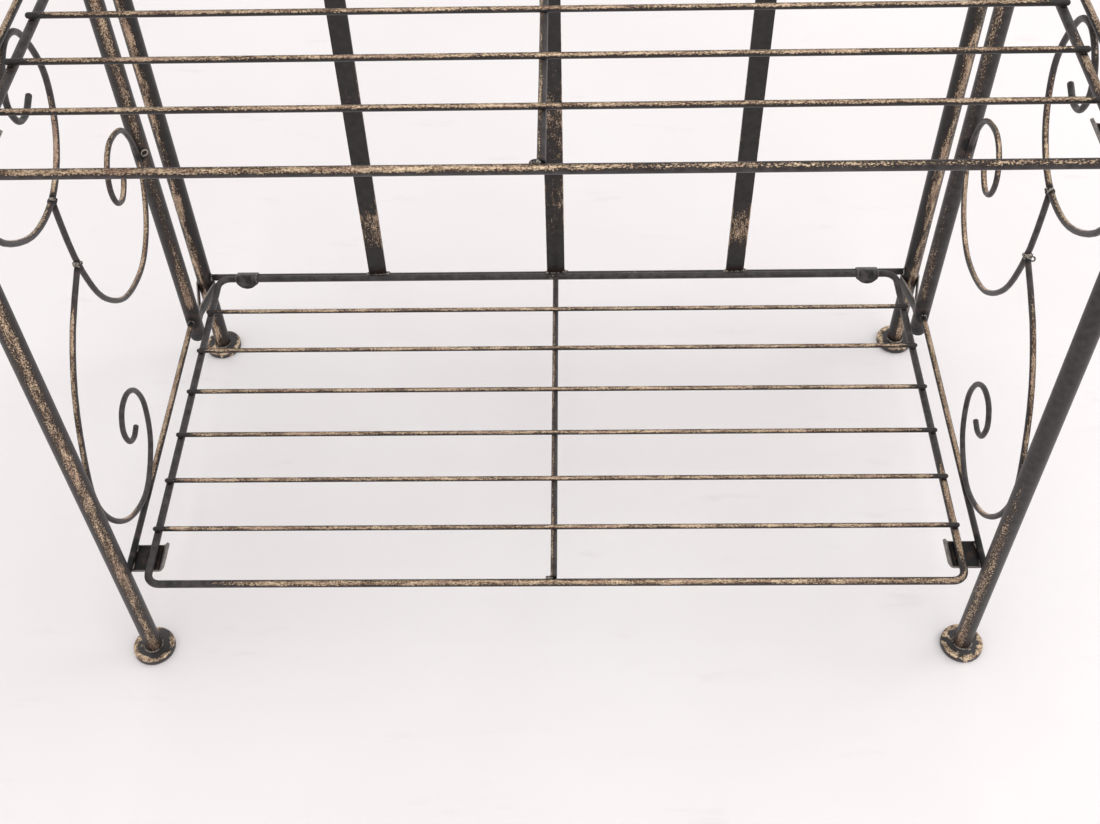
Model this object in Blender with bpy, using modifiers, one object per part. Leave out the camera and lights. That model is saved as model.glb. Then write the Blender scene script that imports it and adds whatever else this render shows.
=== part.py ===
"""Folding metal shelving unit: wire shelves on a slatted back frame, between two scrolled side frames.

Lengths are in metres and angles in radians. X runs along the shelves, -Y is the front and +Z is up.
The origin is on the floor, at the middle of the footprint.
"""

import math

import bmesh
import bpy
from mathutils import Vector

# Overall sizes
post_spacing = 0.648
frame_depth = 0.336
shelf_count = 3
lowest_shelf_height = 0.095
shelf_spacing = 0.393

# Bent tubes of the back frame and the side frames
tube_diameter = 0.014
tube_wall = 0.0012
tube_bend_radius = 0.040
side_post_setback = 0.054
side_post_drop = 0.025

# Rods and wires
back_rail_diameter = 0.006
side_rail_diameter = 0.005
scroll_wire_diameter = 0.0043
shelf_rod_diameter = 0.006
centre_rod_diameter = 0.005
cross_wire_diameter = 0.004

# Shelves, whose rods stand this far in from the side frames and ahead of the front legs
shelf_inset = 0.016
shelf_overhang = 0.0016
shelf_corner_radius = 0.009
cross_wire_count = 6
rod_lift_angle = math.radians(27)

# Flat bars of the back
slat_width = 0.016
slat_thickness = 0.003
slat_spacing = 0.163

# Sheet sleeves that hold a shelf's rear rod to the back rail
sleeve_width = 0.019
sleeve_thickness = 0.001
sleeve_inset = 0.025
sleeve_pinch = 0.0065
sleeve_tail = 0.0025
sleeve_tail_angle = math.radians(62)

# Sheet hooks that carry a shelf's side rods
hook_width = 0.024
hook_thickness = 0.002
hook_setback = 0.025
hook_tab = 0.0025
hook_bend_radius = 0.003
hook_lip_offset = 0.0065
hook_lip_lean = 0.004
hook_lip_height = 0.0055

# Sheet straps that hinge a side frame on its back post
strap_count = 3
strap_height = 0.012
strap_thickness = 0.0012
strap_pinch = 0.032
strap_drop_from_rail = 0.002
strap_drop_from_bend = 0.020

# Feet, and the plugs in the side frames' rear posts
foot_diameter = 0.033
foot_thickness = 0.006
foot_edge = 0.0015
cap_length = 0.008
cap_edge = 0.002
cap_stem_length = 0.010

# Clearances, and how deep the pieces that are one solid run into each other
weld_gap = 0.0003
running_clearance = 0.0003
weld_depth = 0.0008

# How finely round shapes are divided
tube_sides = 8
rod_sides = 8
wire_sides = 6
bend_steps = 5
corner_steps = 4
wire_turn = math.radians(27)
wrap_directions = 16
turned_steps = 16

# Outlines of the three scrolls in a bay of a side frame, each from its curled tip to its stem. The
# first share runs from the front leg to the rear post, the second from the rail below to the one above.
lower_scroll_shares = (
    (0.375, 0.137), (0.337, 0.131), (0.299, 0.148), (0.288, 0.188), (0.327, 0.221), (0.393, 0.219),
    (0.450, 0.182), (0.470, 0.120), (0.418, 0.042), (0.285, 0.000), (0.143, 0.042), (0.042, 0.125),
    (0.000, 0.225), (0.042, 0.325), (0.125, 0.427), (0.245, 0.507),
)
middle_scroll_shares = (
    (0.842, 0.498), (0.797, 0.483), (0.752, 0.500), (0.739, 0.542), (0.774, 0.584), (0.846, 0.600),
    (0.950, 0.568), (1.000, 0.479), (0.950, 0.390), (0.861, 0.334), (0.747, 0.317), (0.591, 0.350),
    (0.466, 0.437), (0.408, 0.540), (0.392, 0.625),
)
upper_scroll_shares = (
    (0.480, 0.890), (0.428, 0.876), (0.378, 0.888), (0.357, 0.930), (0.392, 0.974), (0.466, 1.000),
    (0.544, 0.974), (0.596, 0.880), (0.557, 0.792), (0.470, 0.735), (0.363, 0.714), (0.230, 0.733),
    (0.100, 0.800), (0.028, 0.890), (0.003, 0.960),
)
knot_height_share = 0.566
top_stem_angle = math.radians(20)

# Sizes that follow from those above
tube_radius = tube_diameter / 2
tube_bore_radius = tube_radius * math.cos(math.pi / tube_sides) - tube_wall
back_rail_radius = back_rail_diameter / 2
side_rail_radius = side_rail_diameter / 2
scroll_wire_reach = scroll_wire_diameter / 2 * math.cos(math.pi / wire_sides)
shelf_rod_radius = shelf_rod_diameter / 2
rod_to_rail = back_rail_radius + shelf_rod_radius + weld_gap
rod_setback = rod_to_rail * math.cos(rod_lift_angle)
rod_lift = rod_to_rail * math.sin(rod_lift_angle)
shelf_length = post_spacing - 2 * shelf_inset
shelf_depth = frame_depth - rod_setback + shelf_overhang
sleeve_spacing = shelf_length - 2 * sleeve_inset
tube_foot = foot_thickness + weld_gap
top_level = lowest_shelf_height + shelf_count * shelf_spacing
top_tube_height = top_level - shelf_rod_radius + tube_radius


def shelf_level(number):
    """Height of a shelf's rods; shelf 1 is the lowest."""
    return lowest_shelf_height + (number - 1) * shelf_spacing


def back_rail_height(number):
    return shelf_level(number) - rod_lift


def side_rail_height(number):
    """A side rail's underside is level with that of the shelf's rods, on the same hook."""
    return shelf_level(number) - shelf_rod_radius + side_rail_radius


def clear_scene():
    for thing in list(bpy.data.objects):
        bpy.data.objects.remove(thing, do_unlink=True)


def finish(name, colour, roughness, metallic):
    material = bpy.data.materials.new(name)
    material.use_nodes = True
    shader = material.node_tree.nodes["Principled BSDF"]
    shader.inputs["Base Color"].default_value = (*colour, 1)
    shader.inputs["Roughness"].default_value = roughness
    shader.inputs["Metallic"].default_value = metallic
    return material


def rubbed_metal(name):
    return finish(name, (0.055, 0.047, 0.040), 0.42, 0.65)


def black_plastic(name):
    return finish(name, (0.018, 0.018, 0.019), 0.55, 0.0)


def base(name, location, collection):
    """Empty at a body's joint axis, which carries its pieces."""
    empty = bpy.data.objects.new(name, None)
    empty.location = location
    collection.objects.link(empty)
    return empty


def place(data, parent, location=(0, 0, 0), rotation=(0, 0, 0), material=rubbed_metal):
    """Object of the data's name, with a finish of its own, in its body's collection."""
    thing = bpy.data.objects.new(data.name, data)
    thing.location = location
    thing.rotation_euler = rotation
    thing.parent = parent
    data.materials.append(material(data.name + "_finish"))
    parent.users_collection[0].objects.link(thing)
    return thing


def rounded(points, radius, steps, closed=False):
    """Path through the points with each corner turned into an arc."""
    corners = [Vector(point) for point in points]
    path = []
    for index, corner in enumerate(corners):
        if not closed and index in (0, len(corners) - 1):
            path.append(corner)
            continue
        back = (corners[index - 1] - corner).normalized()
        ahead = (corners[(index + 1) % len(corners)] - corner).normalized()
        half_angle = back.angle(ahead) / 2
        centre = corner + (back + ahead).normalized() * radius / math.sin(half_angle)
        start = corner + back * radius / math.tan(half_angle) - centre
        end = corner + ahead * radius / math.tan(half_angle) - centre
        sweep = start.angle(end)
        for step in range(steps + 1):
            turned = step / steps * sweep
            spoke = start * math.sin(sweep - turned) + end * math.sin(turned)
            path.append(centre + spoke / math.sin(sweep))
    return path


def smoothed(points, turn):
    """Smooth path through the points, with more steps where it turns more."""
    ends = 2 * points[0] - points[1], 2 * points[-1] - points[-2]
    anchors = [ends[0], *points, ends[1]]
    path = []
    for before, start, end, after in zip(anchors, anchors[1:], anchors[2:], anchors[3:]):
        steps = max(1, math.ceil((end - before).angle(after - start) / turn))
        for step in range(steps):
            t = step / steps
            swing = 2 * before - 5 * start + 4 * end - after
            twist = 3 * start - before - 3 * end + after
            path.append(start + ((end - before) * t + swing * t**2 + twist * t**3) / 2)
    path.append(points[-1])
    return path


def new_curve(name, dimensions, paths, closed):
    curve = bpy.data.curves.new(name, "CURVE")
    curve.dimensions = dimensions
    for path in paths:
        spline = curve.splines.new("POLY")
        spline.points.add(len(path) - 1)
        for spot, point in zip(spline.points, path):
            spot.co = (*point, 1) if len(point) == 3 else (*point, 0, 1)
        spline.use_cyclic_u = closed
        spline.use_smooth = dimensions == "3D"
    return curve


def round_bar(name, paths, diameter, sides, closed=False, capped=True):
    """Round bar along each path."""
    curve = new_curve(name, "3D", paths, closed)
    curve.bevel_depth = diameter / 2
    curve.bevel_resolution = sides // 2 - 2
    curve.use_fill_caps = capped and not closed
    return curve


def bent_tube(name, path, parent):
    """Hollow tube, open at both ends."""
    tube = place(round_bar(name, [path], tube_diameter, tube_sides, capped=False), parent)
    add_wall(tube, tube_wall, -1)
    return tube


def flat_bars(name, outlines, thickness):
    """Outlines in their own XY plane, given a thickness along Z."""
    curve = new_curve(name, "2D", outlines, closed=True)
    curve.fill_mode = "BOTH"
    curve.extrude = thickness / 2
    return curve


def bent_strip(name, path, width):
    """Ribbon of sheet along a path in its own XY plane, whose thickness comes from a wall."""
    curve = new_curve(name, "2D", [path], closed=False)
    curve.fill_mode = "NONE"
    curve.extrude = width / 2
    return curve


def add_wall(thing, thickness, offset):
    wall = thing.modifiers.new("wall", "SOLIDIFY")
    wall.thickness = thickness
    wall.offset = offset
    wall.use_even_offset = True


def as_mesh(curve):
    """Mesh object in place of a curve's, with its caps welded to its sides."""
    name = curve.name
    curve.name = name + "_curve"
    evaluated = curve.evaluated_get(bpy.context.evaluated_depsgraph_get())
    mesh = bpy.data.meshes.new_from_object(evaluated)
    shape = bmesh.new()
    shape.from_mesh(mesh)
    bmesh.ops.remove_doubles(shape, verts=shape.verts, dist=weld_gap / 10)
    shape.to_mesh(mesh)
    shape.free()
    mesh.name = name
    thing = bpy.data.objects.new(name, mesh)
    curve.users_collection[0].objects.link(thing)
    thing.parent = curve.parent
    thing.matrix_world = curve.matrix_world
    bpy.data.objects.remove(curve, do_unlink=True)
    return thing


def weld(curve, other_curve):
    """One solid of two that run into each other, under the first one's name."""
    thing = as_mesh(curve)
    other = as_mesh(other_curve)
    other.hide_render = True
    other.display_type = "WIRE"
    other.users_collection[0].objects.unlink(other)
    bpy.data.collections["welded_shapes"].objects.link(other)
    union = thing.modifiers.new("weld", "BOOLEAN")
    union.operation = "UNION"
    union.solver = "EXACT"
    union.object = other


def wrapped(circles, tail_way, pinch_distance, tail_end, thickness):
    """Middle line of a strip pulled round circles, with its two ends pinched together in a tail.

    Each circle is a centre and the radius that the middle line keeps from it. The tail leaves the
    first circle, and both its distances are from that circle's centre.
    """
    beside = Vector((-tail_way.y, tail_way.x))
    corner_share = 1 / math.cos(math.pi / wrap_directions)
    half_pair = (thickness + weld_gap) / 2
    pinch = circles[0][0] + tail_way * pinch_distance
    tip = circles[0][0] + tail_way * tail_end
    first_angle = math.atan2(tail_way.y, tail_way.x)
    path = [tip + beside * half_pair, pinch + beside * half_pair]
    for step in range(wrap_directions):
        angle = first_angle + 2 * math.pi * step / wrap_directions
        way = Vector((math.cos(angle), math.sin(angle)))
        centre, radius = max(circles, key=lambda circle: circle[0].dot(way) + circle[1])
        if centre.dot(way) + radius > pinch.dot(way) + half_pair:
            path.append(centre + way * radius * corner_share)
    path += [pinch - beside * half_pair, tip - beside * half_pair]
    return path


def turned(name, profile):
    """Half section of a turned piece, from the axis at its top, down its outside, to the axis below."""
    mesh = bpy.data.meshes.new(name)
    points = [(radius, 0, height) for radius, height in profile]
    mesh.from_pydata(points, [(index, index + 1) for index in range(len(points) - 1)], [])
    return mesh


def add_turning(thing):
    screw = thing.modifiers.new("turning", "SCREW")
    screw.steps = turned_steps
    screw.render_steps = turned_steps
    screw.use_merge_vertices = True
    screw.merge_threshold = weld_gap / 10
    screw.use_smooth_shade = True


def add_foot(name, parent, location):
    radius = foot_diameter / 2
    profile = (
        (0, foot_thickness),
        (radius - foot_edge, foot_thickness),
        (radius, foot_thickness - foot_edge),
        (radius, foot_edge),
        (radius - foot_edge, 0),
        (0, 0),
    )
    add_turning(place(turned(name, profile), parent, location))


def add_cap(name, parent, location):
    """Plug with its stem inside the tube and a flange of the tube's size under the tube's end."""
    stem_radius = tube_bore_radius - weld_gap
    profile = (
        (0, cap_length + cap_stem_length),
        (stem_radius, cap_length + cap_stem_length),
        (stem_radius, cap_length),
        (tube_radius, cap_length),
        (tube_radius, cap_edge),
        (tube_radius - cap_edge, 0),
        (0, 0),
    )
    add_turning(place(turned(name, profile), parent, location, material=black_plastic))


def add_back_frame(collection):
    """Fixed frame: a bent tube, a grille in each bay, sleeves for the shelves, and two feet."""
    half = post_spacing / 2
    parent = base("back_frame_base", (0, frame_depth / 2, 0), collection)
    arch = [
        (-half, 0, tube_foot),
        (-half, 0, top_tube_height),
        (half, 0, top_tube_height),
        (half, 0, tube_foot),
    ]
    bent_tube("back_frame_tube", rounded(arch, tube_bend_radius, bend_steps), parent)

    for number in range(1, shelf_count + 1):
        add_grille(number, parent)
        for side, across in (("left", -sleeve_spacing / 2), ("right", sleeve_spacing / 2)):
            add_sleeve(f"shelf_{number}_{side}_sleeve", number, across, collection)
    for side, across in (("left", -half), ("right", half)):
        add_foot(f"{side}_back_foot", parent, (across, 0, 0))


def add_grille(number, parent):
    """Rail between the posts, with three flat bars that stand on it and end under the next one."""
    height = back_rail_height(number)
    rail_end = post_spacing / 2 - tube_radius - weld_gap
    path = [(-rail_end, 0, height), (rail_end, 0, height)]
    rail = place(round_bar(f"back_grille_{number}", [path], back_rail_diameter, rod_sides), parent)

    bottom = height + back_rail_radius - weld_depth
    top = back_rail_height(number + 1) - back_rail_radius - weld_gap
    if number == shelf_count:
        top = top_tube_height - tube_radius - weld_gap
    outlines = []
    for across in (-slat_spacing, 0, slat_spacing):
        left = across - slat_width / 2
        right = across + slat_width / 2
        outlines.append([(left, bottom), (right, bottom), (right, top), (left, top)])
    slats = flat_bars(f"back_slats_{number}", outlines, slat_thickness)
    weld(rail, place(slats, parent, rotation=(math.pi / 2, 0, 0)))


def add_sleeve(name, number, across, collection):
    """Sheet sleeve round the back rail and the shelf's rear rod, which turns in it."""
    wrap_radius = running_clearance + sleeve_thickness / 2
    rod = Vector((0, 0)), shelf_rod_radius + wrap_radius
    rail = Vector((rod_setback, -rod_lift)), back_rail_radius + wrap_radius
    tail_way = Vector((-math.cos(sleeve_tail_angle), -math.sin(sleeve_tail_angle)))
    tail_end = sleeve_pinch + sleeve_tail
    path = wrapped([rod, rail], tail_way, sleeve_pinch, tail_end, sleeve_thickness)
    rod_line = (across, frame_depth / 2 - rod_setback, shelf_level(number))
    parent = base(name + "_base", rod_line, collection)
    sleeve = place(bent_strip(name, path, sleeve_width), parent, (0, 0, 0), (math.pi / 2, 0, math.pi / 2))
    add_wall(sleeve, sleeve_thickness, 0)


def add_side_frame(side, inward, collection):
    """Frame that swings on a back post; inward is +1 or -1, the way that X runs into the unit."""
    axis_x = -inward * post_spacing / 2
    parent = base(f"{side}_side_frame_axis", (axis_x, frame_depth / 2, 0), collection)
    leg_y = -frame_depth
    post_y = -side_post_setback
    post_end = lowest_shelf_height - side_post_drop
    arch = [
        (0, leg_y, tube_foot),
        (0, leg_y, top_tube_height),
        (0, post_y, top_tube_height),
        (0, post_y, post_end + cap_length + weld_gap),
    ]
    bent_tube(f"{side}_side_tube", rounded(arch, tube_bend_radius, bend_steps), parent)
    add_foot(f"{side}_front_foot", parent, (0, leg_y, 0))
    add_cap(f"{side}_post_cap", parent, (0, post_y, post_end))
    add_straps(side, parent)

    rail_start = leg_y + tube_radius + weld_gap
    rail_end = post_y - tube_radius - weld_gap
    for number in range(1, shelf_count + 1):
        height = side_rail_height(number)
        path = [(0, rail_start, height), (0, rail_end, height)]
        name = f"{side}_side_rail_{number}"
        place(round_bar(name, [path], side_rail_diameter, rod_sides), parent)
        add_hook(f"{side}_hook_{number}", number, inward, parent)
        add_scrolls(side, number, rail_start, rail_end, parent)


def add_scrolls(side, number, front, rear, parent):
    """Three wire scrolls that fill a bay, each touching its neighbours where they are welded."""
    touch = scroll_wire_reach + weld_gap
    low = side_rail_height(number) + side_rail_radius + touch
    high = shelf_level(number + 1) - shelf_rod_radius - touch
    front += scroll_wire_reach
    rear -= scroll_wire_reach

    def spot(shares):
        reach, rise = shares
        return Vector((0, front + reach * (rear - front), low + rise * (high - low)))

    upper = [spot(shares) for shares in upper_scroll_shares]
    if number < shelf_count:
        upper.append(Vector((0, front, high + scroll_wire_reach)))
    else:
        upper[-1] = bend_contact(touch)
    upper = smoothed(upper, wire_turn)

    middle = [spot(shares) for shares in middle_scroll_shares]
    stem = middle[-1].y
    edges = (stem - scroll_wire_reach, stem + scroll_wire_reach)
    underside = min(last_crossing(upper, 1, edge).z for edge in edges)
    middle.append(Vector((0, stem, underside - touch)))
    middle = smoothed(middle, wire_turn)

    lower = [spot(shares) for shares in lower_scroll_shares]
    knot = last_crossing(middle, 2, spot((0, knot_height_share)).z)
    way = (knot - lower[-1]).normalized()
    lower.append(knot - way * (touch + scroll_wire_reach * way.z) / way.y)
    lower = smoothed(lower, wire_turn)

    for part, path in (("lower", lower), ("middle", middle), ("upper", upper)):
        name = f"{side}_scroll_{number}_{part}"
        place(round_bar(name, [path], scroll_wire_diameter, wire_sides), parent)


def bend_contact(touch):
    """Where the topmost scroll's stem ends, against the inside of the tube's front bend."""
    reach = tube_bend_radius - tube_radius - touch
    across = tube_bend_radius - reach * math.cos(top_stem_angle) - frame_depth
    rise = reach * math.sin(top_stem_angle) - tube_bend_radius
    return Vector((0, across, top_tube_height + rise))


def last_crossing(path, axis, value):
    """Point nearest to a path's end at which it passes a value of Y, for axis 1, or Z, for axis 2."""
    for end, start in zip(path[::-1], path[-2::-1]):
        if min(start[axis], end[axis]) <= value <= max(start[axis], end[axis]):
            return start.lerp(end, (value - start[axis]) / (end[axis] - start[axis]))
    return path[-1]


def add_hook(name, number, inward, parent):
    """Strip welded under the side rail, which passes under the shelf's rod and turns up inside it."""
    middle_height = shelf_level(number) - shelf_rod_radius - weld_gap - hook_thickness / 2
    bend = shelf_inset + hook_lip_offset
    points = [
        (-inward * hook_tab, middle_height),
        (inward * bend, middle_height),
        (inward * (bend + hook_lip_lean), middle_height + hook_lip_height),
    ]
    path = rounded(points, hook_bend_radius, corner_steps)
    location = (0, -frame_depth + hook_setback, 0)
    hook = place(bent_strip(name, path, hook_width), parent, location, (math.pi / 2, 0, 0))
    add_wall(hook, hook_thickness, 0)


def add_straps(side, parent):
    """Strips looped round the back post, with both ends welded to the side frame's rear post."""
    wrap_radius = tube_radius + running_clearance + strap_thickness / 2
    tail_end = side_post_setback - tube_radius - weld_gap
    circle = Vector((0, 0)), wrap_radius
    path = wrapped([circle], Vector((0, -1)), strap_pinch, tail_end, strap_thickness)
    under_rail = back_rail_height(1) - back_rail_radius - strap_drop_from_rail
    lowest = under_rail - strap_height / 2
    highest = top_tube_height - tube_bend_radius - strap_drop_from_bend
    spacing = (highest - lowest) / (strap_count - 1)
    for index in range(strap_count):
        ribbon = bent_strip(f"{side}_hinge_strap_{index + 1}", path, strap_height)
        strap = place(ribbon, parent, (0, 0, lowest + index * spacing))
        add_wall(strap, strap_thickness, 0)


def add_shelf(number, collection):
    """Shelf that turns up about its rear rod: a closed rod frame, with a grid of wires on it."""
    axis = (0, frame_depth / 2 - rod_setback, shelf_level(number))
    parent = base(f"shelf_{number}_axis", axis, collection)
    half = shelf_length / 2
    corners = [(-half, 0, 0), (half, 0, 0), (half, -shelf_depth, 0), (-half, -shelf_depth, 0)]
    loop = rounded(corners, shelf_corner_radius, corner_steps, closed=True)
    name = f"shelf_{number}_frame"
    place(round_bar(name, [loop], shelf_rod_diameter, rod_sides, closed=True), parent)

    wire_height = shelf_rod_radius + weld_gap + cross_wire_diameter / 2
    rod_height = wire_height - (cross_wire_diameter + centre_rod_diameter) / 2 + weld_depth
    rod_end = shelf_rod_radius + weld_gap
    path = [(0, -rod_end, rod_height), (0, rod_end - shelf_depth, rod_height)]
    rod = place(round_bar(f"shelf_{number}_grid", [path], centre_rod_diameter, rod_sides), parent)

    reach = half + shelf_rod_radius
    pitch = shelf_depth / (cross_wire_count + 1)
    paths = []
    for wire in range(1, cross_wire_count + 1):
        paths.append([(-reach, -wire * pitch, wire_height), (reach, -wire * pitch, wire_height)])
    wires = round_bar(f"shelf_{number}_wires", paths, cross_wire_diameter, wire_sides)
    weld(rod, place(wires, parent))


def main():
    clear_scene()
    collection = bpy.data.collections.new("folding_shelving_unit")
    bpy.context.scene.collection.children.link(collection)
    welded_shapes = bpy.data.collections.new("welded_shapes")
    bpy.context.scene.collection.children.link(welded_shapes)
    add_back_frame(collection)
    add_side_frame("left", 1, collection)
    add_side_frame("right", -1, collection)
    for number in range(1, shelf_count + 1):
        add_shelf(number, collection)


main()
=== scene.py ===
"""Looks of the folding metal shelving unit: bent tube, rods and wires in dark paint, rubbed with bronze.

Metres and radians. X runs along the shelves, -Y is the front and +Z is up. Every bar is made straight, gets
its ends and its grain while it is straight, and is then bent along the path that the frame gives it.
"""

import math
import random
from collections import namedtuple

import bmesh
import bpy
import numpy as np
from mathutils import Matrix, Vector


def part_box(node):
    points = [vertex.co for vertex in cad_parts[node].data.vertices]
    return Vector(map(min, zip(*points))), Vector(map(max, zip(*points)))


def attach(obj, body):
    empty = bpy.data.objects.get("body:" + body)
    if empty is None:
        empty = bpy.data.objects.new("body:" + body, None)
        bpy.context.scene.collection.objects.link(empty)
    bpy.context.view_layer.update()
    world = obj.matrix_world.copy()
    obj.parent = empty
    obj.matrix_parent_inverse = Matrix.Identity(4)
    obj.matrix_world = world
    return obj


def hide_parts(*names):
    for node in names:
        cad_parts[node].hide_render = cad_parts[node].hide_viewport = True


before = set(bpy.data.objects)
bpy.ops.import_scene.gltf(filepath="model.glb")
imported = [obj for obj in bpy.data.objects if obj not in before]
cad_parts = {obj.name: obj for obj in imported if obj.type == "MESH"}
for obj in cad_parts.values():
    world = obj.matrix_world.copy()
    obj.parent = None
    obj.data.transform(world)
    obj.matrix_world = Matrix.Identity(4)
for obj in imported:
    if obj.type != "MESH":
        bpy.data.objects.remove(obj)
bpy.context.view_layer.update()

sides = (("left", -1), ("right", 1))
shelf_numbers = (1, 2, 3)


def middle_of(node):
    low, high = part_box(node)
    return (low + high) / 2


def size_of(node):
    low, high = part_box(node)
    return high - low


# Stock sizes
tube_diameter = size_of("left_side_tube").x
tube_radius = tube_diameter / 2
tube_wall = 0.0012
tube_bend_radius = 0.040
plug_flange = 0.008
back_rail_diameter = 0.006
side_rail_diameter = size_of("left_side_rail_1").z
scroll_wire_diameter = 0.0043
shelf_rod_diameter = size_of("shelf_1_frame").z
shelf_corner_radius = 0.0098
centre_rod_diameter = 0.005
cross_wire_diameter = 0.004
cross_wire_count = 6
slat_spacing = 0.163
weld_gap = 0.0003
running_clearance = 0.0003

# Places, read off the frame
half_spacing = middle_of("right_back_foot").x
back_y = middle_of("right_back_foot").y
front_y = middle_of("right_front_foot").y
side_post_y = middle_of("right_post_cap").y
foot_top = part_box("right_front_foot")[1].z
top_tube_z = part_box("back_frame_tube")[1].z - tube_radius
bottom_of_side_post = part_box("right_post_cap")[0].z + plug_flange + weld_gap
levels = {number: middle_of(f"shelf_{number}_frame").z for number in shelf_numbers}
shelf_spacing = levels[2] - levels[1]
levels[4] = levels[3] + shelf_spacing
shelf_half = size_of("shelf_1_frame").x / 2 - shelf_rod_diameter / 2
shelf_back_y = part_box("shelf_1_frame")[1].y - shelf_rod_diameter / 2
shelf_front_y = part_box("shelf_1_frame")[0].y + shelf_rod_diameter / 2
rail_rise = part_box("back_grille_1")[0].z + back_rail_diameter / 2 - levels[1]

# Outlines of a bay's three scrolls, from the curled tip to the stem: shares of the way from the front
# leg to the rear post, and from the rail below to the rail above
scroll_shares = {
    "lower": (
        (0.375, 0.137), (0.337, 0.131), (0.299, 0.148), (0.288, 0.188), (0.327, 0.221), (0.393, 0.219),
        (0.450, 0.182), (0.470, 0.120), (0.418, 0.042), (0.285, 0.000), (0.143, 0.042), (0.042, 0.125),
        (0.000, 0.225), (0.042, 0.325), (0.125, 0.427), (0.245, 0.507),
    ),
    "middle": (
        (0.859, 0.515), (0.842, 0.498), (0.797, 0.483), (0.752, 0.500), (0.739, 0.542), (0.774, 0.584),
        (0.846, 0.600), (0.950, 0.568), (1.000, 0.479), (0.950, 0.390), (0.861, 0.334), (0.747, 0.317),
        (0.591, 0.350), (0.466, 0.437), (0.408, 0.540), (0.392, 0.625),
    ),
    "upper": (
        (0.480, 0.890), (0.428, 0.876), (0.378, 0.888), (0.357, 0.930), (0.392, 0.974), (0.466, 1.000),
        (0.544, 0.974), (0.596, 0.880), (0.557, 0.792), (0.470, 0.735), (0.363, 0.714), (0.230, 0.733),
        (0.100, 0.800), (0.028, 0.890), (0.003, 0.960),
    ),
}

# The shares at which a scroll touches the rail below, the leg, the post and the rail above, the height of
# the knot of the lower and middle scrolls, and how steeply the topmost stem meets the tube's bend
rail_touch = (0.285, 0)
leg_touch = (0, 0.225)
post_touch = (1, 0.479)
upper_rail_touch = (0.466, 1)
knot_touch = (0, 0.566)
top_stem_angle = math.radians(20)

# How far the flat sides of the frame's six-sided scrolls lie from their middle, as a share of the radius
scroll_flat = math.cos(math.pi / 6)

# Round bars: how many sides their ring has, and the step from one ring to the next
RoundStock = namedtuple("RoundStock", "diameter sides step")
tube_stock = RoundStock(tube_diameter, 24, 0.006)
back_rail_stock = RoundStock(back_rail_diameter, 16, 0.008)
side_rail_stock = RoundStock(side_rail_diameter, 16, 0.006)
scroll_stock = RoundStock(scroll_wire_diameter, 12, 0.003)
shelf_rod_stock = RoundStock(shelf_rod_diameter, 16, 0.0022)
centre_rod_stock = RoundStock(centre_rod_diameter, 16, 0.005)
cross_wire_stock = RoundStock(cross_wire_diameter, 12, 0.006)

# Flat bars: the step from one ring to the next, and how far their edges are eased
FlatStock = namedtuple("FlatStock", "width thickness step edge")
slat_stock = FlatStock(0.016, 0.003, 0.01, 0.0004)
sleeve_stock = FlatStock(0.019, 0.001, 0.0008, 0.00025)
hook_stock = FlatStock(0.024, 0.002, 0.0008, 0.0004)
strap_stock = FlatStock(size_of("left_hinge_strap_1").z, 0.0012, 0.0015, 0.0003)

# How finely bends, ends and edges are made. A face is a bar's end if it looks along the bar by more than
# end_facing, and an edge of a flat bar is eased if it is sharper than sharp_angle.
tube_bend_steps = 24
shelf_corner_steps = 10
hook_bend_steps = 12
wrap_directions = 64
fine_turn = math.radians(6)
most_cuts = 100
end_facing = 0.9
end_rings = 3
sharp_angle = 0.8
edge_rings = 2
merge_distance = weld_gap / 3
smooth_angle = math.radians(40)
turned_smooth_angle = math.radians(50)

# Shares of its radius by which a bar's ends are rounded
sawn_end = 0.0
eased_end = 0.3
blunt_end = 0.55
domed_end = 0.9

# Each bar's grain starts at a place of its own, and luck picks and turns each bead too
luck = random.Random(7)
grain_shift = 5.0

# Bronze all along a bar: places as shares of its length, with their shares of bronze
full_rub = ((0, 1), (1, 1))

# How far the black round a weld reaches
tube_burn_reach = 0.012
scroll_burn_reach = 0.009
shelf_burn_reach = 0.0045


# Paths

def rounded(points, radius, steps, closed=False):
    """Path through the points with each corner turned into an arc."""
    corners = [Vector(point) for point in points]
    path = []
    for index, corner in enumerate(corners):
        if not closed and index in (0, len(corners) - 1):
            path.append(corner)
            continue
        back = (corners[index - 1] - corner).normalized()
        ahead = (corners[(index + 1) % len(corners)] - corner).normalized()
        half_angle = back.angle(ahead) / 2
        centre = corner + (back + ahead).normalized() * radius / math.sin(half_angle)
        start = corner + back * radius / math.tan(half_angle) - centre
        end = corner + ahead * radius / math.tan(half_angle) - centre
        sweep = start.angle(end)
        for step in range(steps + 1):
            swept = step / steps * sweep
            spoke = start * math.sin(sweep - swept) + end * math.sin(swept)
            path.append(centre + spoke / math.sin(sweep))
    return path


def smoothed(points, turn):
    """Smooth path through the points, with more steps where it turns more."""
    ends = 2 * points[0] - points[1], 2 * points[-1] - points[-2]
    anchors = [ends[0], *points, ends[1]]
    path = []
    for before, start, end, after in zip(anchors, anchors[1:], anchors[2:], anchors[3:]):
        steps = max(2, math.ceil((end - before).angle(after - start) / turn))
        for step in range(steps):
            t = step / steps
            swing = 2 * before - 5 * start + 4 * end - after
            twist = 3 * start - before - 3 * end + after
            path.append(start + ((end - before) * t + swing * t**2 + twist * t**3) / 2)
    path.append(points[-1])
    return path


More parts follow.
